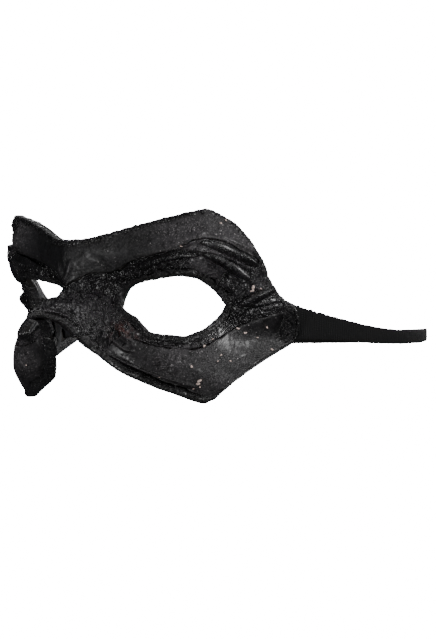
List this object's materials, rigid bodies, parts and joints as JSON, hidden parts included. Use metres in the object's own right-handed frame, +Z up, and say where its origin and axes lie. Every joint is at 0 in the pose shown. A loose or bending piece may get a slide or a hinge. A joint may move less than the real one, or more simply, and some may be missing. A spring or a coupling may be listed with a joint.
{
  "type": "plague doctor eye mask",
  "caption": "Black layered-leather eye mask with a short hooked nose, open eye holes, folded and bound edges, and an elastic strap round the back of the head.",
  "frame": {"origin": "on the bridge of the nose, on the outer face, in the mask's middle plane", "axes": "the mask faces -Y; +X is the wearer's left; +Y runs back over the head to the strap; +Z up"},
  "size_m": [0.1506, 0.211, 0.0775],
  "materials": {
    "base_board": "stiff undyed-edge board, matt",
    "smooth_leather": "smooth black leather with a soft cool sheen",
    "crumpled_leather": "crumpled and glazed black leather",
    "edge_leather": "rolled black leather strips with rough worn edges",
    "lining_cloth": "thin black cotton lining",
    "elastic": "black knitted elastic with fine cross ribs",
    "thread": "black sewing thread"
  },
  "bodies": {
    "mask": {"base_shell": "base_board", "brow_panel": "smooth_leather", "nose_panel": "crumpled_leather", "top_binding": "edge_leather", "nose_rim": "edge_leather", "left_lining": "lining_cloth", "left_cheek_panel": "smooth_leather", "left_eye_patch": "crumpled_leather", "left_eye_binding": "edge_leather", "left_upper_pleat": "crumpled_leather", "left_middle_pleat": "crumpled_leather", "left_lower_pleat": "crumpled_leather", "left_brow_fold": "crumpled_leather", "left_hem": "edge_leather", "left_temple_patch": "edge_leather", "left_strap_tab": "elastic", "left_strap_stitches": "thread", "right_lining": "lining_cloth", "right_cheek_panel": "smooth_leather", "right_eye_patch": "crumpled_leather", "right_eye_binding": "edge_leather", "right_upper_pleat": "crumpled_leather", "right_middle_pleat": "crumpled_leather", "right_lower_pleat": "crumpled_leather", "right_brow_fold": "crumpled_leather", "right_hem": "edge_leather", "right_temple_patch": "edge_leather", "right_strap_tab": "elastic", "right_strap_stitches": "thread"},
    "strap": {"strap_left_run": "elastic", "strap_right_run": "elastic"},
    "strap_back": {"strap_back": "elastic"}
  },
  "joints": [
    {"name": "strap_swing", "type": "hinge", "parent": "mask", "child": "strap", "pos_m": [0, 0.0764, -0.0098], "axis": [1, 0, 0], "range_deg": [-60, 70], "stiffness_Nm_per_rad": 0.08},
    {"name": "strap_stretch", "type": "slide", "parent": "strap", "child": "strap_back", "axis": [0, 1, 0], "range_m": [0, 0.045], "stiffness_N_per_m": 60, "deforming": ["strap_left_run", "strap_right_run"]}
  ]
}
